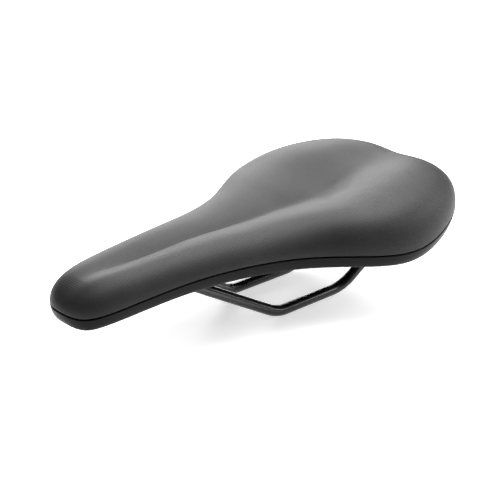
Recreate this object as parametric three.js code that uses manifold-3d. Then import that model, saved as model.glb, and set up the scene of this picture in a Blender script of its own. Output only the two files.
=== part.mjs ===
// A sports bicycle saddle: bonded cover, moulded foam, nylon base, two steel rails and their sockets.
// Millimetres. +X is forward (the nose), +Y the rider's left, +Z up.
// x = 0 is mid-length, y = 0 the plane of symmetry, z = 0 the underside of the rails.
import * as THREE from "three";
import { mergeVertices } from "three/addons/utils/BufferGeometryUtils.js";
import Module from "manifold-3d";

const { clamp, lerp, smoothstep, degToRad } = THREE.MathUtils;
const wasm = await Module();
wasm.setup();

// ---- Driving dimensions -------------------------------------------------------------------------

const GAP = 0.3; // left between pieces that touch

// The seam is where the cover meets the base. These are the control points (x, y, z) of its left half,
// as a cubic B-spline from the nose to the tail. The right half mirrors them.
const SEAM = [
  [141.4, 0, 44.7],
  [137.5, 16, 42.3],
  [125.5, 25.3, 45.2],
  [83.4, 29, 50],
  [47.8, 33, 51.3],
  [-4.6, 43.8, 49.3],
  [-39.4, 70.7, 46.8],
  [-73.3, 81.8, 43.2],
  [-118.2, 68.3, 53.7],
  [-137.4, 49, 60.6],
  [-142.1, 21.3, 66.1],
  [-134.8, 0, 69.6],
];
const SEAM_STEPS = 3; // stations in each span of the seam

// Along the saddle, as [x, value]: the height of the lobes, and the depth and half width of the valley
const CREST = [
  [-140, 80],
  [-90, 79.4],
  [-40, 73.2],
  [10, 67.5],
  [60, 65.8],
  [110, 62.2],
  [145, 57],
];
const VALLEY_DEPTH = [
  [-140, 1.2],
  [-100, 8.6],
  [-60, 14.5],
  [-10, 9.5],
  [40, 6],
  [85, 5.5],
  [125, 1.4],
];
const VALLEY_WIDTH = [
  [-140, 22],
  [-100, 26],
  [-60, 26],
  [-25, 22],
  [5, 16],
  [40, 12],
  [125, 10],
];
const VALLEY_FADE = 8; // the valley dies out towards the seam as 1 - share to this power
const SPINE = { nose: 112, tail: -70 }; // the section lines fan out from the ends of this stretch
// The cross-section is a gentle dome, which takes this share of the rise, and a shoulder that takes the rest
const DOME = [
  [-90, 0.27],
  [-50, 0.24],
  [0, 0],
];
// Exponent of the shoulder: 2 is an ellipse, more is tighter
const ROUNDNESS = [
  [-90, 10],
  [-50, 8],
  [-10, 3.6],
  [20, 2.9],
];
const SECTION_SHARES = [0, 0.3, 0.55, 0.75, 0.88, 0.95, 0.985, 1]; // loft loops, from the spine to the seam

const COVER = { thickness: 1.2 };
const FOAM = { nose: 7.5, noseFrom: 20, tail: 11, tailFrom: -60 }; // thicknesses, and where each begins
const BASE = { thickness: 3, valley: 0.7, ledge: 2.9, wall: 2.2 }; // its valley is this share of the cover's
// The visible band under the seam: a groove, then a wall that rolls under to a lip
const RIM = {
  height: 9.3,
  roll: 4.6,
  angles: [20, 45, 70, 90], // degrees round the roll
  lip: 1.3,
  lipRise: 0.5,
  footShare: 0.65, // of the height, where the lip meets the wall inside
  groove: 0.9,
  grooveDepth: 0.4,
};

const RAIL = { diameter: 7, spacing: 44, sides: 12, bendRadius: 26, bendSteps: 6 };
const RAIL_Z = RAIL.diameter / 2;
const RAIL_Y = RAIL.spacing / 2;
const NOSE_END = new THREE.Vector3(98, 8.5, 41);
const REAR_END = new THREE.Vector3(-120, 30.8, 51.1);
const RAIL_ROUTE = [
  NOSE_END,
  new THREE.Vector3(62.5, NOSE_END.y, NOSE_END.z),
  new THREE.Vector3(-4, RAIL_Y, RAIL_Z), // the level stretch that the seatpost clamps
  new THREE.Vector3(-61.5, RAIL_Y, RAIL_Z),
  REAR_END,
];

const BUSH = { inner: 3.95, wall: 0.9, proud: 0.6 }; // thin rubber sleeve between a rail end and its socket
const BUSH_OUTER = BUSH.inner + BUSH.wall;
const SOCKET_HOLE = BUSH_OUTER + GAP;

const SCREW = { shank: 1.9, head: 3.5, headHeight: 2.6, length: 8, key: 1.5, keyDepth: 1.5 };
const INSERT = { inner: 2.2, outer: 2.9, height: 4.6 };
const BOSS = { radius: 4.5, embed: 1.5 };

const NOSE_SOCKET = {
  back: 80,
  front: 101,
  bottom: 34.6,
  top: 47.3,
  width: 31,
  toe: 113, // a thinner toe runs on to here, for the screws
  toeBottom: 40.5,
  toeTop: 44.5,
  screwX: 107,
  screwY: 7.5,
};

const REAR_SOCKET = {
  depth: 22, // length of the rail in the socket
  end: 3.2, // wall behind the rail's end
  half: 6.9, // half the block's size across the rail
  flangeTop: 7.4, // above the rail's end
  flangeThickness: 3.5,
  flangeFront: 16,
  flangeBack: -5,
  flangeHalf: 16,
  screwX: 5,
  screwY: 11.8,
};
const ROUND = 18; // sides of the round pieces

// ---- Materials ----------------------------------------------------------------------------------

const finish = (color, roughness, metalness = 0) =>
  new THREE.MeshStandardMaterial({ color, roughness, metalness });
const coverFinish = () => finish(0x2b2b2d, 0.62);
const foamFinish = () => finish(0x3a3a3c, 0.95);
const baseFinish = () => finish(0x1c1c1e, 0.45);
const railFinish = () => finish(0x0b0b0c, 0.25, 0.6);
const socketFinish = () => finish(0x151516, 0.5);
const rubberFinish = () => finish(0x101010, 0.85);
const screwFinish = () => finish(0x6f7175, 0.35, 1);
const brassFinish = () => finish(0xb08d45, 0.35, 1);

// ---- Solids -------------------------------------------------------------------------------------

const group = new THREE.Group();

function addPiece(name, geometry, material) {
  const mesh = new THREE.Mesh(geometry, material);
  mesh.name = name;
  group.add(mesh);
  return mesh;
}

// Shares vertices that lie together, and drops triangles that this leaves with no area
function weld(geometry) {
  const bare = new THREE.BufferGeometry();
  bare.setAttribute("position", geometry.getAttribute("position"));
  bare.setIndex(geometry.index);
  const merged = mergeVertices(bare, 1e-4);
  const corners = merged.index.array;
  const kept = [];
  for (let i = 0; i < corners.length; i += 3) {
    const [a, b, c] = corners.slice(i, i + 3);
    if (a !== b && b !== c && c !== a) kept.push(a, b, c);
  }
  merged.setIndex(kept);
  return merged;
}

function toSolid(geometry) {
  const welded = weld(geometry);
  return new wasm.Manifold(
    new wasm.Mesh({
      numProp: 3,
      vertProperties: welded.getAttribute("position").array,
      triVerts: new Uint32Array(welded.index.array),
    }),
  );
}

function toGeometry(solid) {
  const mesh = solid.getMesh();
  const geometry = new THREE.BufferGeometry();
  geometry.setAttribute("position", new THREE.BufferAttribute(mesh.vertProperties, 3));
  geometry.setIndex(new THREE.BufferAttribute(mesh.triVerts, 1));
  return geometry;
}

// Joins the first geometry with those in add, then cuts those in cut away
function carve(body, { add = [], cut = [] }) {
  let solid = toSolid(body);
  for (const piece of add) solid = solid.add(toSolid(piece));
  for (const piece of cut) solid = solid.subtract(toSolid(piece));
  return toGeometry(solid);
}

// An upright cylinder from the height low to the height high at the point (x, y)
function post(radius, x, y, low, high, sides = ROUND) {
  return new THREE.CylinderGeometry(radius, radius, high - low, sides)
    .rotateX(Math.PI / 2)
    .translate(x, y, (low + high) / 2);
}

// ---- The saddle's surface -----------------------------------------------------------------------

const SEAM_LOOP = [...SEAM, ...SEAM.slice(1, -1).reverse().map(([x, y, z]) => [x, -y, z])];

// A point of the seam: t counts its control points, so 0 is the nose and SEAM.length - 1 the tail
function seamPoint(t) {
  const first = Math.floor(t);
  const u = t - first;
  const weights = [(1 - u) ** 3, 3 * u ** 3 - 6 * u ** 2 + 4, -3 * u ** 3 + 3 * u ** 2 + 3 * u + 1, u ** 3];
  const point = new THREE.Vector3();
  weights.forEach((weight, k) => {
    const control = SEAM_LOOP[(first - 1 + k + SEAM_LOOP.length) % SEAM_LOOP.length];
    point.addScaledVector(new THREE.Vector3(...control), weight / 6);
  });
  return point;
}

// Places round the seam, each with the direction that points outwards in plan
const STATIONS = Array.from({ length: SEAM_LOOP.length * SEAM_STEPS }, (_, i) => {
  const t = i / SEAM_STEPS;
  const nudge = 0.01;
  const along = seamPoint(t + nudge).sub(seamPoint(t - nudge + SEAM_LOOP.length));
  return { edge: seamPoint(t), outward: new THREE.Vector3(along.y, -along.x, 0).normalize() };
});

// The value at x of a smooth curve through [x, value] pairs, level beyond its ends
function valueAt(pairs, x) {
  const last = pairs.length - 1;
  const slope = (i) => {
    const [x0, v0] = pairs[Math.max(i - 1, 0)];
    const [x1, v1] = pairs[Math.min(i + 1, last)];
    return (v1 - v0) / (x1 - x0);
  };
  const after = pairs.findIndex(([place]) => place > x);
  const i = after === -1 ? last - 1 : Math.max(after - 1, 0);
  const [x0, v0] = pairs[i];
  const [x1, v1] = pairs[i + 1];
  const span = x1 - x0;
  const u = clamp((x - x0) / span, 0, 1);
  return (
    v0 * (1 + 2 * u) * (1 - u) ** 2 +
    v1 * (3 - 2 * u) * u ** 2 +
    span * u * (1 - u) * (slope(i) * (1 - u) - slope(i + 1) * u)
  );
}

// A loop of points at one share of the way from the spine to the seam, on a surface drawn in by inset and
// lifted by lift at the seam, with its crest lowered by the function lower and its valley scaled
function surfaceLoop(share, { inset, lift, lower, valley }) {
  return STATIONS.map(({ edge, outward }) => {
    const rim = edge.clone().addScaledVector(outward, -inset);
    const x = lerp(clamp(edge.x, SPINE.tail, SPINE.nose), rim.x, share);
    const y = rim.y * share;
    const foot = rim.z + lift;
    const dome = valueAt(DOME, x);
    const profile = dome * (1 - share ** 2) + (1 - dome) * Math.sqrt(1 - share ** valueAt(ROUNDNESS, x));
    const rise = (valueAt(CREST, x) - lower(x) - foot) * profile;
    const dip = valueAt(VALLEY_DEPTH, x) * Math.exp(-((y / valueAt(VALLEY_WIDTH, x)) ** 2));
    return new THREE.Vector3(x, y, foot + rise - valley * dip * Math.sqrt(1 - share ** VALLEY_FADE));
  });
}

const surfaceLoops = (surface) => SECTION_SHARES.map((share) => surfaceLoop(share, surface));

// A loop that follows the seam, inset in plan and lifted
const seamLoop = (inset, lift) =>
  STATIONS.map(({ edge, outward }) => edge.clone().addScaledVector(outward, -inset).setZ(edge.z + lift));

// A closed solid through a stack of loops, whose first and last loops are drawn together onto the spine
function loft(loops) {
  const count = STATIONS.length;
  const index = [];
  for (let i = 0; i + 1 < loops.length; i++) {
    for (let j = 0; j < count; j++) {
      const k = (j + 1) % count;
      const [a, b, c, d] = [i * count + j, i * count + k, (i + 1) * count + j, (i + 1) * count + k];
      index.push(a, c, b, b, c, d);
    }
  }
  const geometry = new THREE.BufferGeometry().setFromPoints(loops.flat());
  geometry.setIndex(index);
  return weld(geometry);
}

const foamThickness = (x) => lerp(FOAM.tail, FOAM.nose, smoothstep(x, FOAM.tailFrom, FOAM.noseFrom));
const SURFACES = {
  coverTop: { inset: 0, lift: 0, lower: () => 0, valley: 1 },
  coverUnder: { inset: COVER.thickness, lift: 0, lower: () => COVER.thickness, valley: 1 },
  foamTop: { inset: COVER.thickness + 2 * GAP, lift: 0, lower: () => COVER.thickness + 2 * GAP, valley: 1 },
  foamUnder: {
    inset: BASE.ledge - 1.5 * GAP,
    lift: 0,
    lower: (x) => foamThickness(x) - 2 * GAP,
    valley: BASE.valley,
  },
  baseTop: { inset: BASE.ledge, lift: -RIM.grooveDepth, lower: foamThickness, valley: BASE.valley },
  baseUnder: {
    inset: BASE.ledge + BASE.wall,
    lift: -RIM.grooveDepth - BASE.thickness,
    lower: (x) => foamThickness(x) + BASE.thickness,
    valley: BASE.valley,
  },
};

function coverGeometry() {
  return loft([...surfaceLoops(SURFACES.coverTop), ...surfaceLoops(SURFACES.coverUnder).reverse()]);
}

function foamGeometry() {
  return loft([...surfaceLoops(SURFACES.foamTop), ...surfaceLoops(SURFACES.foamUnder).reverse()]);
}

// The base: its domed top, a groove, the band that rolls under, and the hollow underside with its bosses
function baseGeometry() {
  const groove = seamLoop(RIM.groove, -RIM.grooveDepth);
  const band = RIM.angles.map((degrees) => {
    const turn = degToRad(degrees);
    return seamLoop(RIM.roll * (1 - Math.cos(turn)), -RIM.height * Math.sin(turn));
  });
  const inside = [
    seamLoop(RIM.roll + RIM.lip, RIM.lipRise - RIM.height),
    seamLoop(BASE.ledge + BASE.wall + GAP, -RIM.footShare * RIM.height),
  ];
  const shell = loft([
    ...surfaceLoops(SURFACES.baseTop),
    groove,
    ...band,
    ...inside,
    ...surfaceLoops(SURFACES.baseUnder).reverse(),
  ]);
  const seats = SCREW_PLACES.map((place) => place.seat);
  return carve(shell, {
    add: seats.map(({ x, y, z }) => post(BOSS.radius, x, y, z + GAP, z + INSERT.height + BOSS.embed)),
    cut: seats.map(({ x, y, z }) => post(INSERT.outer + GAP, x, y, z, z + INSERT.height + 2 * GAP)),
  });
}

// ---- Rails --------------------------------------------------------------------------------------

// The rail's middle line: straight stretches joined by round bends. Its frames keep one side of the section
// level, so the clamped stretch has exactly level facets.
class RodPath extends THREE.Curve {
  constructor(corners, bendRadius, bendSteps) {
    super();
    this.stops = [corners[0]];
    for (let i = 1; i + 1 < corners.length; i++) {
      const back = corners[i - 1].clone().sub(corners[i]).normalize();
      const on = corners[i + 1].clone().sub(corners[i]).normalize();
      const half = back.angleTo(on) / 2;
      const middle = back.clone().add(on).normalize();
      const centre = corners[i].clone().addScaledVector(middle, bendRadius / Math.sin(half));
      const start = corners[i].clone().addScaledVector(back, bendRadius / Math.tan(half)).sub(centre);
      const axis = back.clone().cross(on).normalize();
      const turn = 2 * half - Math.PI;
      for (let step = 0; step <= bendSteps; step++) {
        this.stops.push(start.clone().applyAxisAngle(axis, (turn * step) / bendSteps).add(centre));
      }
    }
    this.stops.push(corners.at(-1));
  }

  getPoint(t) {
    const place = t * (this.stops.length - 1);
    const i = Math.min(Math.floor(place), this.stops.length - 2);
    return this.stops[i].clone().lerp(this.stops[i + 1], place - i);
  }

  getSpacedPoints() {
    return this.stops;
  }

  computeFrenetFrames() {
    const frames = { tangents: [], normals: [], binormals: [] };
    this.stops.forEach((stop, i) => {
      const before = this.stops[Math.max(i - 1, 0)];
      const after = this.stops[Math.min(i + 1, this.stops.length - 1)];
      const into = stop === before ? after.clone().sub(stop) : stop.clone().sub(before);
      const out = stop === after ? into.clone() : after.clone().sub(stop);
      const tangent = into.normalize().add(out.normalize()).normalize();
      const side = new THREE.Vector3(0, 0, 1).cross(tangent).normalize();
      frames.tangents.push(tangent);
      frames.normals.push(side);
      frames.binormals.push(tangent.clone().cross(side));
    });
    return frames;
  }
}

// A regular polygon with a level flat at top and bottom, measured across its flats
function rodSection(diameter, sides) {
  const corner = diameter / 2 / Math.cos(Math.PI / sides);
  const points = Array.from({ length: sides }, (_, i) => {
    const angle = ((i + 0.5) / sides) * 2 * Math.PI;
    return new THREE.Vector2(corner * Math.cos(angle), corner * Math.sin(angle));
  });
  return new THREE.Shape(points);
}

const mirrored = (point, side) => new THREE.Vector3(point.x, point.y * side, point.z);

function railGeometry(side) {
  const path = new RodPath(RAIL_ROUTE.map((point) => mirrored(point, side)), RAIL.bendRadius, RAIL.bendSteps);
  return new THREE.ExtrudeGeometry(rodSection(RAIL.diameter, RAIL.sides), {
    extrudePath: path,
    steps: path.stops.length - 1,
  });
}

// ---- Turned pieces ------------------------------------------------------------------------------

// A solid turned about its own Z axis, from (radius, height) pairs that close on themselves or on the axis
function turned(profile, sides = ROUND) {
  const points = profile.map(([radius, height]) => new THREE.Vector2(radius, height));
  return new THREE.LatheGeometry(points, sides).rotateX(Math.PI / 2);
}

// A ring from the height 0 up, which can have a wider collar at its foot
function ring(inner, outer, height, collar = 0, collarHeight = 0) {
  const profile = [[inner, 0], [outer + collar, 0]];
  if (collar) profile.push([outer + collar, collarHeight], [outer, collarHeight]);
  profile.push([outer, height], [inner, height], [inner, 0]);
  return turned(profile);
}

// A cap screw that points up, with the underside of its head at the height 0 and a six-sided socket in it
function screwGeometry() {
  const { shank, head, headHeight, length, key, keyDepth } = SCREW;
  const bevel = 0.4;
  const body = turned([
    [0, -headHeight],
    [head - bevel, -headHeight],
    [head, bevel - headHeight],
    [head, 0],
    [shank, 0],
    [shank, length - bevel],
    [shank - bevel, length],
    [0, length],
  ]);
  return carve(body, { cut: [post(key, 0, 0, -headHeight - 1, keyDepth - headHeight, 6)] });
}

// ---- Sockets and fasteners ----------------------------------------------------------------------

// The direction in which a rail's last stretch runs into its socket
const railEndDirection = (end, previous) => end.clone().sub(previous).normalize();
const REAR_DIRECTION = railEndDirection(RAIL_ROUTE.at(-1), RAIL_ROUTE.at(-2));
const NOSE_DIRECTION = railEndDirection(RAIL_ROUTE[0], RAIL_ROUTE[1]);

// Turns a geometry whose axis is +Z to lie along a direction, with its origin at a place
function aim(geometry, place, direction) {
  const turn = new THREE.Quaternion().setFromUnitVectors(new THREE.Vector3(0, 0, 1), direction);
  return geometry.applyQuaternion(turn).translate(place.x, place.y, place.z);
}

// The bore in a socket for a bushed rail end, from well outside the mouth to just behind the end
function railBore(end, direction, depth) {
  const runOut = 15;
  const foot = end.clone().addScaledVector(direction, -depth - runOut);
  const bore = new THREE.CylinderGeometry(SOCKET_HOLE, SOCKET_HOLE, depth + runOut + 2 * GAP, ROUND)
    .rotateX(Math.PI / 2)
    .translate(0, 0, (depth + runOut + 2 * GAP) / 2);
  return aim(bore, foot, direction);
}

function bushGeometry(end, direction, depth) {
  const mouth = end.clone().addScaledVector(direction, -depth - BUSH.proud);
  const collar = 1;
  return aim(ring(BUSH.inner, BUSH_OUTER, depth + BUSH.proud, collar, BUSH.proud - GAP), mouth, direction);
}

// A profile in the XZ plane, given as [x, z] pairs, extruded to both sides of y = 0 with bevelled edges
function slab(profile, width) {
  const bevel = 0.7;
  const shape = new THREE.Shape(profile.map(([x, z]) => new THREE.Vector2(x, z)));
  return new THREE.ExtrudeGeometry(shape, {
    depth: width - 2 * bevel,
    bevelThickness: bevel,
    bevelSize: bevel,
    bevelOffset: -bevel,
    bevelSegments: 1,
  })
    .translate(0, 0, bevel - width / 2)
    .rotateX(Math.PI / 2);
}

function noseSocketGeometry() {
  const { back, front, toe, bottom, top, toeBottom, toeTop, width, screwX, screwY } = NOSE_SOCKET;
  const profile = [
    [back, bottom],
    [front, bottom],
    [front, toeBottom],
    [toe, toeBottom],
    [toe, toeTop],
    [front, toeTop],
    [front, top],
    [back, top],
  ];
  return carve(slab(profile, width), {
    cut: [
      ...[1, -1].map((side) => railBore(mirrored(NOSE_END, side), NOSE_DIRECTION, NOSE_END.x - back)),
      ...[screwY, -screwY].map((y) => post(SCREW.shank + GAP, screwX, y, toeBottom - 1, toeTop + 1)),
    ],
  });
}

// The rear socket in its own frame: x forward along the rail in plan, the rail's end at the origin
function rearSocketLocal() {
  const { depth, end, half, screwX, screwY } = REAR_SOCKET;
  const { flangeTop, flangeThickness, flangeFront, flangeBack, flangeHalf } = REAR_SOCKET;
  const rise = Math.asin(REAR_DIRECTION.z);
  const along = new THREE.Vector2(Math.cos(rise), -Math.sin(rise)); // out of the mouth, in the XZ plane
  const across = new THREE.Vector2(Math.sin(rise), Math.cos(rise)); // up from the rail
  const corner = (a, b) => [along.x * a + across.x * b, along.y * a + across.y * b];
  const flangeFoot = flangeTop - flangeThickness;
  const front = corner(depth, half);
  const block = slab(
    [
      corner(-end, -half),
      corner(depth, -half),
      front,
      [front[0], flangeFoot],
      [front[0] - flangeThickness, flangeTop],
      [flangeBack, flangeTop],
      [corner(-end, -half)[0], flangeFoot],
    ],
    2 * half,
  );
  const flange = new THREE.BoxGeometry(flangeFront - flangeBack, 2 * flangeHalf, flangeThickness).translate(
    (flangeFront + flangeBack) / 2,
    0,
    flangeTop - flangeThickness / 2,
  );
  return carve(block, {
    add: [flange],
    cut: [screwY, -screwY].map((y) => post(SCREW.shank + GAP, screwX, y, flangeFoot - 1, flangeTop + 1)),
  });
}

const rearYaw = (side) => Math.atan2(-REAR_DIRECTION.y * side, -REAR_DIRECTION.x);

function rearSocketGeometry(side) {
  const end = mirrored(REAR_END, side);
  const block = rearSocketLocal().rotateZ(rearYaw(side)).translate(end.x, end.y, end.z);
  return carve(block, { cut: [railBore(end, mirrored(REAR_DIRECTION, side), REAR_SOCKET.depth)] });
}

// Where a rear screw passes through the top of its flange
function rearScrewSeat(side, offset) {
  return new THREE.Vector3(REAR_SOCKET.screwX, offset, REAR_SOCKET.flangeTop)
    .applyAxisAngle(new THREE.Vector3(0, 0, 1), rearYaw(side))
    .add(mirrored(REAR_END, side));
}

// Every screw, with its name, its place on the top of the piece that it holds, and how thick that piece is
const SCREW_PLACES = [
  ...[NOSE_SOCKET.screwY, -NOSE_SOCKET.screwY].map((y, i) => ({
    name: `nose_${["left", "right"][i]}`,
    seat: new THREE.Vector3(NOSE_SOCKET.screwX, y, NOSE_SOCKET.toeTop),
    grip: NOSE_SOCKET.toeTop - NOSE_SOCKET.toeBottom,
  })),
  ...[1, -1].flatMap((side) =>
    [REAR_SOCKET.screwY * side, -REAR_SOCKET.screwY * side].map((offset, i) => ({
      name: `rear_${side > 0 ? "left" : "right"}_${["outer", "inner"][i]}`,
      seat: rearScrewSeat(side, offset),
      grip: REAR_SOCKET.flangeThickness,
    })),
  ),
];

// ---- Assembly -----------------------------------------------------------------------------------

addPiece("cover", coverGeometry(), coverFinish());
addPiece("foam_pad", foamGeometry(), foamFinish());
addPiece("base_shell", baseGeometry(), baseFinish());
addPiece("nose_socket", noseSocketGeometry(), socketFinish());

for (const [side, name] of [[1, "left"], [-1, "right"]]) {
  const noseEnd = mirrored(NOSE_END, side);
  const rearEnd = mirrored(REAR_END, side);
  const rearDirection = mirrored(REAR_DIRECTION, side);
  const noseDepth = NOSE_END.x - NOSE_SOCKET.back;
  addPiece(`rail_${name}`, railGeometry(side), railFinish());
  addPiece(`rear_socket_${name}`, rearSocketGeometry(side), socketFinish());
  addPiece(`nose_bush_${name}`, bushGeometry(noseEnd, NOSE_DIRECTION, noseDepth), rubberFinish());
  addPiece(`rear_bush_${name}`, bushGeometry(rearEnd, rearDirection, REAR_SOCKET.depth), rubberFinish());
}

for (const { name, seat, grip } of SCREW_PLACES) {
  const screw = addPiece(`screw_${name}`, screwGeometry(), screwFinish());
  screw.position.set(seat.x, seat.y, seat.z - grip - GAP);
  const insert = addPiece(`insert_${name}`, ring(INSERT.inner, INSERT.outer, INSERT.height), brassFinish());
  insert.position.set(seat.x, seat.y, seat.z + GAP);
}

export default group;
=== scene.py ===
import math

import bmesh
import bpy
import numpy as np
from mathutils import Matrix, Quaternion, Vector


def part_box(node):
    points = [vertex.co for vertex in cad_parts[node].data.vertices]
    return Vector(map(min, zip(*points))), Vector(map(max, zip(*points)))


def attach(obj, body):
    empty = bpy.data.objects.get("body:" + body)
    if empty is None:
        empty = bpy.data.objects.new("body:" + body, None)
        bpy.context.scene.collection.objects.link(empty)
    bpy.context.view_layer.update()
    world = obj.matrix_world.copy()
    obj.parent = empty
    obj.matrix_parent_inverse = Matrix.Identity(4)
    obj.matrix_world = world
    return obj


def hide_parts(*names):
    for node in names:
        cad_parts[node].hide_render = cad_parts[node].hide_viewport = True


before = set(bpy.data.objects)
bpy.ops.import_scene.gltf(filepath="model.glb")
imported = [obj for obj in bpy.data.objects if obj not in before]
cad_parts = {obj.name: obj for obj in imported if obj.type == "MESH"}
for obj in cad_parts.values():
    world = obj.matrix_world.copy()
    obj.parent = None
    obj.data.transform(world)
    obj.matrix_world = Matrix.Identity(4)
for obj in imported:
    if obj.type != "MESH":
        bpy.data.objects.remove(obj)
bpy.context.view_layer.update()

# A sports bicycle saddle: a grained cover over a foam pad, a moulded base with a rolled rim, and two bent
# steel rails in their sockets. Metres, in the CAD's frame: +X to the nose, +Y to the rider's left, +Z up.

# ---- Sizes taken from the frame --------------------------------------------------------------------

COVER_LOW, COVER_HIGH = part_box("cover")
DRAWN_LENGTH = 280.2  # of the cover, in the drawing's millimetres
MM = (COVER_HIGH.x - COVER_LOW.x) / DRAWN_LENGTH  # one millimetre of the drawing, in metres

# ---- Driving dimensions, in the drawing's millimetres ----------------------------------------------

# Control points of the seam's left half, a cubic B-spline from the nose to the tail
SEAM = [
    (141.4, 0, 44.7),
    (137.5, 16, 42.3),
    (125.5, 25.3, 45.2),
    (83.4, 29, 50),
    (47.8, 33, 51.3),
    (-4.6, 43.8, 49.3),
    (-39.4, 70.7, 46.8),
    (-73.3, 81.8, 43.2),
    (-118.2, 68.3, 53.7),
    (-137.4, 49, 60.6),
    (-142.1, 21.3, 66.1),
    (-134.8, 0, 69.6),
]

# Along the saddle, as (x, value): the height of the lobes, and the valley between them
CREST = [(-140, 80), (-90, 79.4), (-40, 73.2), (10, 67.5), (60, 65.8), (110, 62.2), (145, 57)]
VALLEY_DEPTH = [(-140, 1.2), (-100, 8.6), (-60, 14.5), (-10, 9.5), (40, 6), (85, 5.5), (125, 1.4)]
VALLEY_WIDTH = [(-140, 22), (-100, 26), (-60, 26), (-25, 20), (5, 14), (40, 10), (125, 8)]
VALLEY_CREASE = [(-105, 0), (-75, 0.25), (-40, 1), (85, 1), (122, 0)]  # 1 is a creased vee, 0 a soft dish
VEE_REACH = 2.6  # times the width
VEE_SOFT = 0.04  # radius of the crease, as a share of the width
VEE_POWER = 2.3  # 1 is straight sides, more is steeper at the crease
VALLEY_FADE = 8  # the valley dies out towards the seam as the square root of 1 - share to this power
SPINE_NOSE, SPINE_TAIL = 112, -70  # the section lines fan out from the ends of this stretch
# The cross-section is a gentle dome, which takes this share of the rise, and a shoulder that takes the rest
DOME = [(-90, 0.27), (-50, 0.24), (0, 0)]
# Exponent of the shoulder: 2 is an ellipse, more is tighter
ROUNDNESS = [(-90, 10), (-50, 8), (-10, 3.6), (20, 2.9)]

COVER_THICKNESS = 1.2
COVER_EDGE = 0.45  # radius of the edge that turns under at the seam
GROOVE_HEIGHT = 0.75
GROOVE_DEPTH = 1.5
FOAM_NOSE, FOAM_TAIL = 7.5, 11  # thickness
FOAM_NOSE_FROM, FOAM_TAIL_FROM = 20, -60  # each thickness holds from this x to its end
BASE_THICKNESS, BASE_LEDGE, BASE_WALL = 3, 2.9, 2.2
BASE_VALLEY = 0.7  # how deep the valley is in the base, as a share of the cover's
RIM_HEIGHT, RIM_ROLL = 9.3, 4.6
RIM_CORNER, RIM_LIP = 0.45, 0.65  # radii of the band's top edge and of the lip under it
RIM_INSIDE = [(4.4, -7.8), (3.6, -6.1), (3.5, -3.7)]  # the wall above the lip: (inset, height) from the seam
GAP = 0.3  # between pieces that touch

RAIL_RADIUS, RAIL_END_BEVEL = 3.5, 0.5
RAIL_BEND_RADIUS = 26
RAIL_ROUTE = [(98, 8.5, 41), (62.5, 8.5, 41), (-4, 22, 3.5), (-61.5, 22, 3.5), (-120, 30.8, 51.1)]
NOSE_SOCKET_BACK = 80
REAR_SOCKET_DEPTH = 22
BUSH_INNER, BUSH_OUTER, BUSH_PROUD, BUSH_COLLAR, BUSH_CHAMFER = 3.95, 4.85, 0.6, 1.0, 0.12
SOCKET_EDGE = 0.5  # radius of the moulded blocks' edges

SCREW_HEAD_HEIGHT, SCREW_HEAD_EDGE, SCREW_HEAD_LIP = 2.6, 0.5, 0.1
SCREW_KEY, SCREW_KEY_DEPTH, SCREW_KEY_CHAMFER = 1.5, 1.5, 0.12  # the first is the radius of its corners
SCREW_SHANK, SCREW_PLAIN = 1.9, 0.6  # radius, and the plain length under the head
SCREW_TIP, SCREW_TAPER = 0.4, 0.5  # how long the tip is, and how far it draws in
THREAD_PITCH, THREAD_DEPTH = 0.8, 0.18

# ---- How finely the shapes are drawn ---------------------------------------------------------------

SEAM_STEPS = 14  # stations in each span of the seam
COVER_ROWS, BODY_ROWS, UNDER_ROWS = 90, 40, 30  # loops from the spine to the seam
BEND_STEPS = 24
ROUND_SIDES = 48
POINT_RADIUS = 1e-4  # of the ring that closes the end of a round piece

# ---- Camera ----------------------------------------------------------------------------------------

CAMERA_AZIMUTH = math.radians(48.24)  # from +X towards +Y
CAMERA_ELEVATION = math.radians(23.45)
CAMERA_DISTANCE = 0.7902
CAMERA_ROLL = math.radians(-0.11)
CAMERA_LENS = 91.66
SENSOR = 36
AIM = Vector((-0.0017, -0.0003, 0.0391))  # the point that the camera looks at


def add_camera():
    data = bpy.data.cameras.new("camera")
    data.lens = CAMERA_LENS
    data.sensor_width = SENSOR
    data.clip_start = 0.01
    camera = bpy.data.objects.new("camera", data)
    bpy.context.scene.collection.objects.link(camera)
    level = math.cos(CAMERA_ELEVATION)
    back = Vector((
        math.cos(CAMERA_AZIMUTH) * level,
        math.sin(CAMERA_AZIMUTH) * level,
        math.sin(CAMERA_ELEVATION),
    ))
    camera.location = AIM + back * CAMERA_DISTANCE
    turn = back.to_track_quat("Z", "Y") @ Quaternion((0, 0, 1), CAMERA_ROLL)
    camera.rotation_euler = turn.to_euler()
    bpy.context.scene.camera = camera


add_camera()

# ---- The saddle's surface --------------------------------------------------------------------------


def value_at(pairs, x):
    """The value at x of a smooth curve through (x, value) pairs, level beyond its ends."""
    places = np.array([place for place, _ in pairs], float)
    values = np.array([value for _, value in pairs], float)
    last = len(pairs) - 1
    before = np.maximum(np.arange(last + 1) - 1, 0)
    after = np.minimum(np.arange(last + 1) + 1, last)
    slopes = (values[after] - values[before]) / (places[after] - places[before])
    i = np.clip(np.searchsorted(places, x, side="right") - 1, 0, last - 1)
    span = places[i + 1] - places[i]
    u = np.clip((x - places[i]) / span, 0, 1)
    return (
        values[i] * (1 + 2 * u) * (1 - u) ** 2
        + values[i + 1] * (3 - 2 * u) * u**2
        + span * u * (1 - u) * (slopes[i] * (1 - u) - slopes[i + 1] * u)
    )


def smoothstep(x, low, high):
    u = np.clip((x - low) / (high - low), 0, 1)
    return u * u * (3 - 2 * u)


SEAM_LOOP = np.array(SEAM + [(x, -y, z) for x, y, z in SEAM[-2:0:-1]], float)


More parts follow.
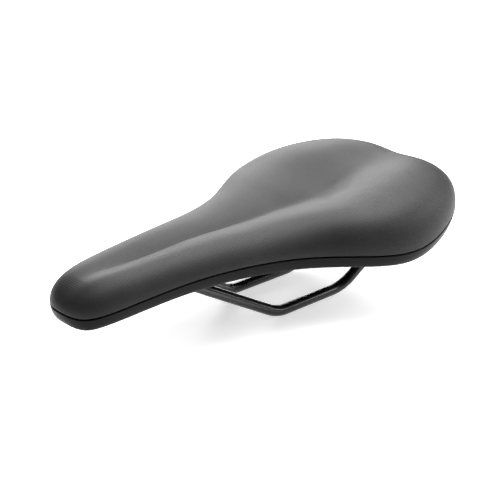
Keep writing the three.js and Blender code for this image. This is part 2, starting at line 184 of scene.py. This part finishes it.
def seam_points(t):
    """Points of the seam: t counts its control points from the nose."""
    first = np.floor(t).astype(int)
    u = (t - first)[:, None]
    weights = [(1 - u) ** 3, 3 * u**3 - 6 * u**2 + 4, -3 * u**3 + 3 * u**2 + 3 * u + 1, u**3]
    return sum(weight / 6 * SEAM_LOOP[(first - 1 + k) % len(SEAM_LOOP)] for k, weight in enumerate(weights))


STATION_T = np.arange(len(SEAM_LOOP) * SEAM_STEPS) / SEAM_STEPS
EDGE = seam_points(STATION_T)
NUDGE = 0.01
ALONG = seam_points(STATION_T + NUDGE) - seam_points(STATION_T - NUDGE + len(SEAM_LOOP))
OUTWARD = np.stack([ALONG[:, 1], -ALONG[:, 0], np.zeros(len(ALONG))], 1)
OUTWARD /= np.linalg.norm(OUTWARD, axis=1)[:, None]
SPINE_X = np.clip(EDGE[:, 0], SPINE_TAIL, SPINE_NOSE)


def valley_shape(x, y):
    """How deep the valley is at (x, y), as a share of its depth: creased in front, a soft dish behind."""
    across = np.abs(y) / value_at(VALLEY_WIDTH, x)
    vee = np.maximum(1 - (np.sqrt(across**2 + VEE_SOFT**2) - VEE_SOFT) / VEE_REACH, 0) ** VEE_POWER
    dish = np.exp(-(across**2))
    return dish + (vee - dish) * value_at(VALLEY_CREASE, x)


def surface_row(share, inset=0.0, lift=0.0, lower=lambda x: 0.0, valley=1.0):
    """A loop at one share of the way from the spine to the seam, on a surface drawn in by inset."""
    rim = EDGE - inset * OUTWARD
    x = SPINE_X + (rim[:, 0] - SPINE_X) * share
    y = rim[:, 1] * share
    foot = rim[:, 2] + lift
    dome = value_at(DOME, x)
    profile = dome * (1 - share**2) + (1 - dome) * np.sqrt(1 - share ** value_at(ROUNDNESS, x))
    rise = (value_at(CREST, x) - lower(x) - foot) * profile
    dip = value_at(VALLEY_DEPTH, x) * valley_shape(x, y)
    return np.stack([x, y, foot + rise - valley * dip * math.sqrt(1 - share**VALLEY_FADE)], 1)


def surface_rows(count, **surface):
    """Loops from the spine to the seam, closer together as the surface turns down."""
    steps = np.arange(count + 1) / count
    return [surface_row(step * (2 - step), **surface) for step in steps]


def seam_row(inset, lift):
    """A loop that follows the seam, inset in plan and lifted."""
    row = EDGE - inset * OUTWARD
    row[:, 2] += lift
    return row


def foam_thickness(x):
    return FOAM_TAIL + (FOAM_NOSE - FOAM_TAIL) * smoothstep(x, FOAM_TAIL_FROM, FOAM_NOSE_FROM)


# ---- Meshes ----------------------------------------------------------------------------------------

WELD = 1e-6  # metres; vertices closer than this are one
SHARP_ANGLE = math.radians(38)


def skin(name, rows, coordinates=None):
    """A closed mesh through a stack of loops in millimetres. Loops or rows that meet are joined."""
    grid = np.stack(rows) * MM
    count = grid.shape[1]
    points = grid.reshape(-1, 3)
    keys = np.round(points / WELD).astype(np.int64)
    _, firsts, labels = np.unique(keys, axis=0, return_index=True, return_inverse=True)
    labels = labels.reshape(-1)
    faces = []
    for i in range(len(rows) - 1):
        for j in range(count):
            k = (j + 1) % count
            corners = [i * count + j, (i + 1) * count + j, (i + 1) * count + k, i * count + k]
            face = list(dict.fromkeys(int(labels[corner]) for corner in corners))
            if len(face) > 2:
                faces.append(face)
    mesh = bpy.data.meshes.new(name)
    mesh.from_pydata(points[firsts].tolist(), [], faces)
    mesh.update()
    if coordinates is not None:
        layer = mesh.attributes.new("lay", "FLOAT_VECTOR", "POINT")
        layer.data.foreach_set("vector", coordinates.reshape(-1, 3)[firsts].astype(np.float32).ravel())
    return finish_mesh(name, mesh)


def finish_mesh(name, mesh):
    """Turns the faces out, shades them smooth up to a sharp edge, and makes the object."""
    work = bmesh.new()
    work.from_mesh(mesh)
    bmesh.ops.recalc_face_normals(work, faces=work.faces)
    work.to_mesh(mesh)
    work.free()
    mesh.shade_smooth()
    mesh.set_sharp_from_angle(angle=SHARP_ANGLE)
    piece = bpy.data.objects.new(name, mesh)
    bpy.context.scene.collection.objects.link(piece)
    return piece


def place(piece, material, slot, *nodes):
    """Gives a new piece its material, hangs it on the root body and hides the CAD nodes it stands for."""
    piece.data.materials.clear()
    piece.data.materials.append(material)
    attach(piece, "root")
    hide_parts(*nodes)
    return piece


# ---- Materials -------------------------------------------------------------------------------------


class Nodes:
    """A short way to write a node material."""

    def __init__(self, name):
        self.material = bpy.data.materials.new(name)
        self.material.use_nodes = True
        self.tree = self.material.node_tree
        self.shader = self.tree.nodes["Principled BSDF"]

    def set(self, **values):
        for key, value in values.items():
            self.shader.inputs[key.replace("_", " ")].default_value = value
        return self

    def node(self, kind, inputs=None, **settings):
        made = self.tree.nodes.new(kind)
        for key, value in settings.items():
            setattr(made, key, value)
        for key, value in (inputs or {}).items():
            socket = made.inputs[key]
            if isinstance(value, bpy.types.NodeSocket):
                self.tree.links.new(value, socket)
            else:
                socket.default_value = value
        return made

    def math(self, operation, a, b=0.0):
        return self.node("ShaderNodeMath", {0: a, 1: b}, operation=operation).outputs[0]

    def position(self):
        return self.node("ShaderNodeTexCoord").outputs["Object"]

    def noise(self, vector, size, detail=2.0):
        """Noise from 0 to 1, with features of about this size in metres."""
        made = self.node("ShaderNodeTexNoise", {"Vector": vector, "Scale": 1 / size, "Detail": detail})
        return made.outputs["Fac"]

    def between(self, value, low, high, source=(0.3, 0.7)):
        """The value, stretched from a source range to the range from low to high."""
        made = self.node(
            "ShaderNodeMapRange",
            {"Value": value, "From Min": source[0], "From Max": source[1], "To Min": low, "To Max": high},
        )
        return made.outputs[0]

    def shade(self, value, dark, light):
        """A colour from dark to light by a value from 0 to 1. Sockets 6 and 7 are the node's two colours."""
        made = self.node("ShaderNodeMix", {0: value, 6: (*dark, 1), 7: (*light, 1)}, data_type="RGBA")
        return made.outputs[2]

    def feed(self, key, value):
        self.tree.links.new(value, self.shader.inputs[key])

    def bump(self, height, distance):
        """Relief by a value from 0 to 1, which stands this distance high, in metres, at 1."""
        made = self.node("ShaderNodeBump", {"Height": height, "Distance": distance})
        self.feed("Normal", made.outputs[0])


def grained_cover():
    """Dark synthetic leather, embossed all over with a fine diagonal check."""
    pitch = 1.9e-3  # metres from ridge to ridge
    m = Nodes("cover").set(Specular_IOR_Level=0.14)
    lay = m.node("ShaderNodeAttribute", attribute_name="lay").outputs["Vector"]
    axes = m.node("ShaderNodeSeparateXYZ", {0: lay})
    turns = 2 * math.pi / pitch
    rising = m.math("ADD", axes.outputs["X"], axes.outputs["Y"])
    falling = m.math("SUBTRACT", axes.outputs["X"], axes.outputs["Y"])
    ridges = [m.math("SINE", m.math("MULTIPLY", line, turns / math.sqrt(2))) for line in (rising, falling)]
    check = m.between(m.math("MULTIPLY", *ridges), 0.0, 1.0, source=(-1, 1))
    spot = m.position()
    grain = m.noise(spot, 0.35e-3, detail=3)
    cloud = m.noise(spot, 30e-3, detail=2)
    relief = m.math("ADD", m.math("MULTIPLY", check, 0.75), m.math("MULTIPLY", grain, 0.25))
    m.bump(relief, 0.11e-3)
    tone = m.math("ADD", m.math("MULTIPLY", check, 0.45), m.between(cloud, 0.0, 0.55))
    m.feed("Base Color", m.shade(tone, (0.011, 0.011, 0.0115), (0.021, 0.021, 0.0215)))
    m.feed("Roughness", m.between(grain, 0.46, 0.58))
    return m.material


def moulded_base():
    m = Nodes("base").set(Specular_IOR_Level=0.05)
    spot = m.position()
    fine = m.noise(spot, 0.25e-3, detail=3)
    cloud = m.noise(spot, 25e-3)
    m.bump(fine, 0.012e-3)
    m.feed("Base Color", m.shade(cloud, (0.005, 0.005, 0.0052), (0.009, 0.009, 0.0092)))
    m.feed("Roughness", m.between(fine, 0.34, 0.44))
    return m.material


def socket_plastic():
    m = Nodes("socket")
    spot = m.position()
    fine = m.noise(spot, 0.4e-3, detail=3)
    m.bump(fine, 0.03e-3)
    m.feed("Base Color", m.shade(fine, (0.012, 0.012, 0.0125), (0.022, 0.022, 0.0225)))
    m.feed("Roughness", m.between(fine, 0.5, 0.62))
    return m.material


def coated_rail():
    m = Nodes("rail").set(Specular_IOR_Level=0.3, Coat_Weight=0.25, Coat_Roughness=0.15)
    spot = m.position()
    peel = m.noise(spot, 1.2e-3, detail=2)
    wear = m.noise(spot, 9e-3, detail=4)
    m.bump(peel, 0.006e-3)
    m.feed("Base Color", m.shade(wear, (0.002, 0.002, 0.0022), (0.005, 0.005, 0.0052)))
    m.feed("Roughness", m.between(wear, 0.22, 0.32))
    return m.material


def rubber():
    m = Nodes("bush")
    spot = m.position()
    fine = m.noise(spot, 0.5e-3)
    m.bump(fine, 0.02e-3)
    m.feed("Base Color", m.shade(fine, (0.010, 0.010, 0.010), (0.018, 0.018, 0.018)))
    m.feed("Roughness", m.between(fine, 0.75, 0.9))
    return m.material


def zinc_screw():
    m = Nodes("screw").set(Metallic=1.0)
    spot = m.position()
    fine = m.noise(spot, 0.2e-3, detail=3)
    cloud = m.noise(spot, 2e-3)
    m.bump(fine, 0.006e-3)
    m.feed("Base Color", m.shade(cloud, (0.36, 0.37, 0.39), (0.48, 0.49, 0.50)))
    m.feed("Roughness", m.between(fine, 0.28, 0.42))
    return m.material


def turned_brass():
    m = Nodes("insert").set(Metallic=1.0)
    spot = m.position()
    fine = m.noise(spot, 0.15e-3)
    m.bump(fine, 0.01e-3)
    m.feed("Base Color", m.shade(fine, (0.55, 0.38, 0.14), (0.66, 0.48, 0.20)))
    m.feed("Roughness", m.between(fine, 0.25, 0.4))
    return m.material


def moulded_foam():
    m = Nodes("foam")
    spot = m.position()
    cells = m.noise(spot, 0.6e-3, detail=4)
    m.bump(cells, 0.15e-3)
    m.feed("Base Color", m.shade(cells, (0.028, 0.028, 0.029), (0.045, 0.045, 0.046)))
    m.feed("Roughness", m.between(cells, 0.85, 0.97))
    return m.material


COVER_MATERIAL = grained_cover()
FOAM_MATERIAL = moulded_foam()
BASE_MATERIAL = moulded_base()
SOCKET_MATERIAL = socket_plastic()
RAIL_MATERIAL = coated_rail()
BUSH_MATERIAL = rubber()
SCREW_MATERIAL = zinc_screw()
INSERT_MATERIAL = turned_brass()

# ---- Cover, foam and base --------------------------------------------------------------------------


def lay_coordinates(rows):
    """Where each point lies on the cover when it is laid out flat from the spine, in metres."""
    grid = np.stack(rows) * MM
    steps = np.linalg.norm(np.diff(grid, axis=0), axis=2)
    run = np.concatenate([np.zeros((1, grid.shape[1])), np.cumsum(steps, axis=0)])
    direction = EDGE[:, :2] - np.stack([SPINE_X, np.zeros(len(EDGE))], 1)
    direction /= np.linalg.norm(direction, axis=1)[:, None]
    flat = np.zeros_like(grid)
    flat[..., 0] = SPINE_X * MM + run * direction[:, 0]
    flat[..., 1] = run * direction[:, 1]
    return flat


def turned_edge(radius, low, high, steps=8):
    """Loops round a small radius from the seam and under, between two angles in degrees."""
    angles = np.radians(np.linspace(low, high, steps))
    return [seam_row(radius * (1 - math.cos(a)), -radius * math.sin(a)) for a in angles]


def build_cover():
    under = dict(inset=COVER_THICKNESS, lower=lambda x: COVER_THICKNESS)
    rows = [
        *surface_rows(COVER_ROWS),
        *turned_edge(COVER_EDGE, 15, 180),
        *reversed(surface_rows(UNDER_ROWS, **under)),
    ]
    piece = skin("saddle_cover", rows, lay_coordinates(rows))
    return place(piece, COVER_MATERIAL, "cover", "cover")


def build_foam():
    skin_gap = COVER_THICKNESS + 2 * GAP
    top = dict(inset=skin_gap, lower=lambda x: skin_gap)
    under = dict(
        inset=BASE_LEDGE - 1.5 * GAP,
        lower=lambda x: foam_thickness(x) - 2 * GAP,
        valley=BASE_VALLEY,
    )
    rows = [*surface_rows(BODY_ROWS, **top), *reversed(surface_rows(UNDER_ROWS, **under))]
    piece = place(skin("saddle_foam", rows), FOAM_MATERIAL, "foam", "foam_pad")
    return piece


def band_row(turn):
    """A loop of the band, which rolls under by a quarter of an ellipse."""
    return seam_row(RIM_ROLL * (1 - math.cos(turn)), -RIM_HEIGHT * math.sin(turn))


def build_base():
    """The domed top, the groove under the cover, the band that rolls under, and the hollow underside."""
    top = dict(inset=BASE_LEDGE, lift=-2 * GAP, lower=foam_thickness, valley=BASE_VALLEY)
    under = dict(
        inset=BASE_LEDGE + BASE_WALL,
        lift=-2 * GAP - BASE_THICKNESS,
        lower=lambda x: foam_thickness(x) + BASE_THICKNESS,
        valley=BASE_VALLEY,
    )
    band_top = COVER_EDGE + GROOVE_HEIGHT
    corner = [
        seam_row(RIM_CORNER * (1 - math.sin(a)), -band_top - RIM_CORNER * (1 - math.cos(a)))
        for a in np.radians(np.linspace(0, 90, 6))
    ]
    first_turn = math.asin((band_top + RIM_CORNER) / RIM_HEIGHT)
    band = [band_row(turn) for turn in np.linspace(first_turn, math.pi / 2, 26)[1:]]
    lip = [
        seam_row(RIM_ROLL + RIM_LIP * math.sin(a), -RIM_HEIGHT + RIM_LIP * (1 - math.cos(a)))
        for a in np.radians(np.linspace(15, 180, 10))
    ]
    rows = [
        *surface_rows(BODY_ROWS, **top),
        seam_row(GROOVE_DEPTH, -COVER_EDGE - GROOVE_HEIGHT / 2),
        seam_row(GROOVE_DEPTH, -band_top),
        *corner,
        *band,
        *lip,
        *(seam_row(inset, height) for inset, height in RIM_INSIDE),
        *reversed(surface_rows(BODY_ROWS, **under)),
    ]
    return place(skin("saddle_base", rows), BASE_MATERIAL, "base", "base_shell")


# ---- Rails and their bushes ------------------------------------------------------------------------


def rounded_route(corners, radius, steps):
    """A line through the corners, with each inner corner rounded by an arc."""
    stops = [corners[0]]
    for before, corner, after in zip(corners, corners[1:], corners[2:]):
        back = (before - corner).normalized()
        on = (after - corner).normalized()
        half = back.angle(on) / 2
        centre = corner + (back + on).normalized() * (radius / math.sin(half))
        start = corner + back * (radius / math.tan(half)) - centre
        axis = back.cross(on).normalized()
        for step in range(steps + 1):
            turn = Quaternion(axis, (2 * half - math.pi) * step / steps)
            stops.append(centre + turn @ start)
    stops.append(corners[-1])
    return stops


ROUND_ANGLES = 2 * np.pi * np.arange(ROUND_SIDES) / ROUND_SIDES


def ring_row(centre, direction, radius):
    """A circle round a direction that isn't upright."""
    side = Vector((0, 0, 1)).cross(direction).normalized()
    up = direction.cross(side)
    return np.array([
        centre + side * (radius * math.cos(angle)) + up * (radius * math.sin(angle)) for angle in ROUND_ANGLES
    ])


def rail_corners(side):
    return [Vector((x, y * side, z)) for x, y, z in RAIL_ROUTE]


def build_rail(name, side):
    stops = rounded_route(rail_corners(side), RAIL_BEND_RADIUS, BEND_STEPS)
    rows = []
    for i, stop in enumerate(stops):
        into = (stop - stops[max(i - 1, 0)]).normalized()
        out = (stops[min(i + 1, len(stops) - 1)] - stop).normalized()
        direction = (into + out).normalized()
        if i in (0, len(stops) - 1):
            inward = direction * (RAIL_END_BEVEL if i == 0 else -RAIL_END_BEVEL)
            ends = [
                ring_row(stop, direction, POINT_RADIUS),
                ring_row(stop, direction, RAIL_RADIUS - RAIL_END_BEVEL),
                ring_row(stop + inward, direction, RAIL_RADIUS),
            ]
            rows += ends if i == 0 else ends[::-1]
        else:
            rows.append(ring_row(stop, direction, RAIL_RADIUS))
    return place(skin(f"{name}_rod", rows), RAIL_MATERIAL, "rail", name)


def build_bush(name, end, before, depth):
    """A sleeve on the rail's end, with a collar at the socket's mouth."""
    direction = (end - before).normalized()
    mouth = end - direction * (depth + BUSH_PROUD)
    collar = BUSH_PROUD - GAP
    profile = [  # (radius, height above the mouth)
        (BUSH_INNER, 0),
        (BUSH_OUTER + BUSH_COLLAR - BUSH_CHAMFER, 0),
        (BUSH_OUTER + BUSH_COLLAR, BUSH_CHAMFER),
        (BUSH_OUTER + BUSH_COLLAR, collar),
        (BUSH_OUTER, collar),
        (BUSH_OUTER, depth + BUSH_PROUD),
        (BUSH_INNER, depth + BUSH_PROUD),
        (BUSH_INNER, 0),
    ]
    rows = [ring_row(mouth + direction * height, direction, radius) for radius, height in profile]
    return place(skin(f"{name}_sleeve", rows), BUSH_MATERIAL, "bush", name)


# ---- Sockets and fasteners -------------------------------------------------------------------------


def build_socket(name):
    """The CAD socket's own shape, with its edges rounded as a mould leaves them."""
    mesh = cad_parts[name].data.copy()
    work = bmesh.new()
    work.from_mesh(mesh)
    bmesh.ops.remove_doubles(work, verts=work.verts, dist=WELD)
    bmesh.ops.dissolve_limit(work, angle_limit=math.radians(1), verts=work.verts, edges=work.edges)
    work.to_mesh(mesh)
    work.free()
    piece = finish_mesh(f"{name}_block", mesh)
    bevel = piece.modifiers.new("round", "BEVEL")
    bevel.width = SOCKET_EDGE * MM
    bevel.segments = 3
    bevel.limit_method = "ANGLE"
    bevel.angle_limit = math.radians(28)
    bevel.harden_normals = True
    return place(piece, SOCKET_MATERIAL, "socket", name)


def level_ring(foot, radii, height):
    """A level loop round an upright axis, at a height above its foot."""
    x = radii * np.cos(ROUND_ANGLES)
    y = radii * np.sin(ROUND_ANGLES)
    return np.stack([x, y, np.full(ROUND_SIDES, height)], 1) + np.array(foot)


def build_screw(name):
    """A button-edged cap screw, pointing up, with a six-sided socket in its head."""
    low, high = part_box(name)
    foot = Vector(((low.x + high.x) / 2, (low.y + high.y) / 2, low.z)) / MM
    head_radius = (high.x - low.x) / 2 / MM
    length = (high.z - low.z) / MM
    corner_turn = (ROUND_ANGLES + math.pi / 6) % (math.pi / 3) - math.pi / 6
    hexagon = math.cos(math.pi / 6) / np.cos(corner_turn)  # radii of a six-sided loop whose corners are at 1

    head_edge = [
        (head_radius - SCREW_HEAD_EDGE * (1 - math.sin(a)), SCREW_HEAD_EDGE * (1 - math.cos(a)))
        for a in np.radians(np.linspace(0, 90, 6))
    ]
    threads = []
    height = SCREW_HEAD_HEIGHT + SCREW_PLAIN
    while height + THREAD_PITCH < length - SCREW_TIP:
        threads += [(SCREW_SHANK - THREAD_DEPTH, height), (SCREW_SHANK, height + THREAD_PITCH / 2)]
        height += THREAD_PITCH
    profile = [  # (radius or radii, height above the foot)
        (POINT_RADIUS, SCREW_KEY_DEPTH),
        (SCREW_KEY * hexagon, SCREW_KEY_DEPTH),
        (SCREW_KEY * hexagon, SCREW_KEY_CHAMFER),
        ((SCREW_KEY + SCREW_KEY_CHAMFER) * hexagon, 0),
        *head_edge,
        (head_radius, SCREW_HEAD_HEIGHT - SCREW_HEAD_LIP),
        (head_radius - SCREW_HEAD_LIP, SCREW_HEAD_HEIGHT),
        (SCREW_SHANK, SCREW_HEAD_HEIGHT),
        *threads,
        (SCREW_SHANK - THREAD_DEPTH, length - SCREW_TIP),
        (SCREW_SHANK - SCREW_TAPER, length),
        (POINT_RADIUS, length),
    ]
    rows = [level_ring(foot, radii, height) for radii, height in profile]
    return place(skin(f"{name}_cap", rows), SCREW_MATERIAL, "screw", name)


# ---- Assembly --------------------------------------------------------------------------------------

build_cover()
build_foam()
build_base()
build_socket("nose_socket")
for side, sign in (("left", 1), ("right", -1)):
    corners = rail_corners(sign)
    nose_depth = corners[0].x - NOSE_SOCKET_BACK
    build_rail(f"rail_{side}", sign)
    build_socket(f"rear_socket_{side}")
    build_bush(f"nose_bush_{side}", corners[0], corners[1], nose_depth)
    build_bush(f"rear_bush_{side}", corners[-1], corners[-2], REAR_SOCKET_DEPTH)

for node in sorted(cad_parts):
    if node.startswith("screw_"):
        build_screw(node)
    if node.startswith("insert_"):
        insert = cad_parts[node]
        insert.data.materials.clear()
        insert.data.materials.append(INSERT_MATERIAL)

# ---- Floor and lights ------------------------------------------------------------------------------


def add_floor():
    half = 4  # metres
    mesh = bpy.data.meshes.new("floor")
    corners = [(-half, -half, 0), (half, -half, 0), (half, half, 0), (-half, half, 0)]
    mesh.from_pydata(corners, [], [(0, 1, 2, 3)])
    floor = bpy.data.objects.new("floor", mesh)
    bpy.context.scene.collection.objects.link(floor)
    m = Nodes("floor").set(Base_Color=(0.86, 0.86, 0.86, 1), Roughness=0.9, Specular_IOR_Level=0.1)
    m.set(Emission_Color=(1, 1, 1, 1), Emission_Strength=0.6)
    mesh.materials.append(m.material)


def add_light(name, azimuth, elevation, distance, width, height, power):
    """A soft light that faces the saddle, at an azimuth (from +X towards +Y) and elevation in degrees."""
    data = bpy.data.lights.new(name, "AREA")
    data.shape = "RECTANGLE"
    data.size, data.size_y = width, height
    data.energy = power
    lamp = bpy.data.objects.new(name, data)
    bpy.context.scene.collection.objects.link(lamp)
    turn, rise = math.radians(azimuth), math.radians(elevation)
    away = Vector((math.cos(turn) * math.cos(rise), math.sin(turn) * math.cos(rise), math.sin(rise)))
    lamp.location = Vector((0, 0, COVER_LOW.z)) + away * distance
    lamp.rotation_euler = away.to_track_quat("Z", "Y").to_euler()


def add_world(front, back, azimuth):
    """Plain white to the eye. As a light it has one strength towards the azimuth, in degrees, and one away
    from it."""
    world = bpy.data.worlds.new("studio")
    world.use_nodes = True
    tree = world.node_tree
    turn = math.radians(azimuth)
    towards = tree.nodes.new("ShaderNodeVectorMath")
    towards.operation = "DOT_PRODUCT"
    towards.inputs[1].default_value = (math.cos(turn), math.sin(turn), 0)
    tree.links.new(tree.nodes.new("ShaderNodeTexCoord").outputs["Generated"], towards.inputs[0])
    strength = tree.nodes.new("ShaderNodeMapRange")
    strength.interpolation_type = "SMOOTHSTEP"
    for key, value in (("From Min", -0.4), ("From Max", 0.9), ("To Min", front), ("To Max", back)):
        strength.inputs[key].default_value = value
    tree.links.new(towards.outputs["Value"], strength.inputs[0])
    seen = tree.nodes.new("ShaderNodeMix")  # its sockets: 0 the factor, 2 and 3 the two numbers
    seen.inputs[3].default_value = 1
    tree.links.new(tree.nodes.new("ShaderNodeLightPath").outputs["Is Camera Ray"], seen.inputs[0])
    tree.links.new(strength.outputs[0], seen.inputs[2])
    background = tree.nodes["Background"]
    background.inputs["Color"].default_value = (1, 1, 1, 1)
    tree.links.new(seen.outputs[0], background.inputs["Strength"])
    bpy.context.scene.world = world


add_floor()
add_light("back", -120, 22, 1.0, 0.8, 0.5, 10.5)
add_light("tail", -165, 60, 1.0, 0.7, 0.7, 16)
add_light("overhead", -150, 82, 1.0, 0.9, 0.9, 16)
add_light("low", 150, 25, 1.0, 0.7, 0.5, 8)
add_world(0.02, 0.04, -150)
bpy.context.scene.view_settings.view_transform = "Standard"
